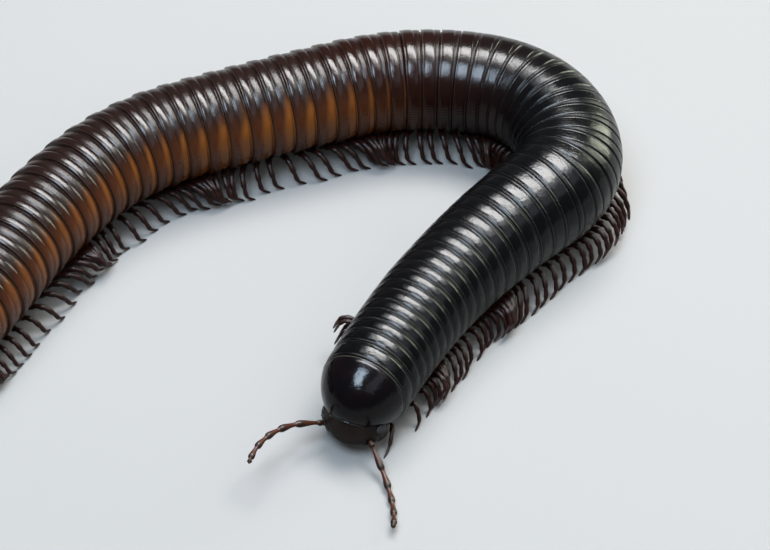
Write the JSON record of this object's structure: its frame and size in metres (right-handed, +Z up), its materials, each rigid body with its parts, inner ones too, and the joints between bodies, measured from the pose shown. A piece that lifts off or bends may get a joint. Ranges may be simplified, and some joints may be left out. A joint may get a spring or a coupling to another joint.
{
  "type": "giant African millipede, still life-size model",
  "caption": "Giant African millipede with a ringed glossy body that turns back on itself, rows of short legs and two feelers.",
  "frame": {"origin": "on the floor, under the middle of the animal's box", "axes": "+Z up, -Y the way that the head end walks in the picture's view, +X towards the bend of the body, the tail end at -X"},
  "size_m": [0.131, 0.1064, 0.0211],
  "materials": {
    "black_cuticle": "glossy",
    "brown_cuticle": "glossy",
    "amber_cuticle": "glossy",
    "horn": "satin",
    "eye": "glossy"
  },
  "bodies": {
    "root": {"head": "black_cuticle", "collum": "black_cuticle", "mandible_right": "black_cuticle", "mandible_left": "black_cuticle", "gnathochilarium": "brown_cuticle", "eye_right": "eye", "eye_left": "eye", "antenna_right": "horn", "antenna_left": "horn", "trunk_01": "black_cuticle", "trunk_02": "black_cuticle", "trunk_03": "black_cuticle", "trunk_04": "black_cuticle", "trunk_05": "brown_cuticle", "trunk_06": "brown_cuticle", "trunk_07": "brown_cuticle", "trunk_08": "amber_cuticle", "trunk_09": "amber_cuticle", "trunk_10": "amber_cuticle", "trunk_11": "amber_cuticle", "trunk_12": "amber_cuticle", "trunk_13": "amber_cuticle", "telson": "amber_cuticle", "anal_valve_left": "brown_cuticle", "anal_valve_right": "brown_cuticle"}
  },
  "joints": []
}
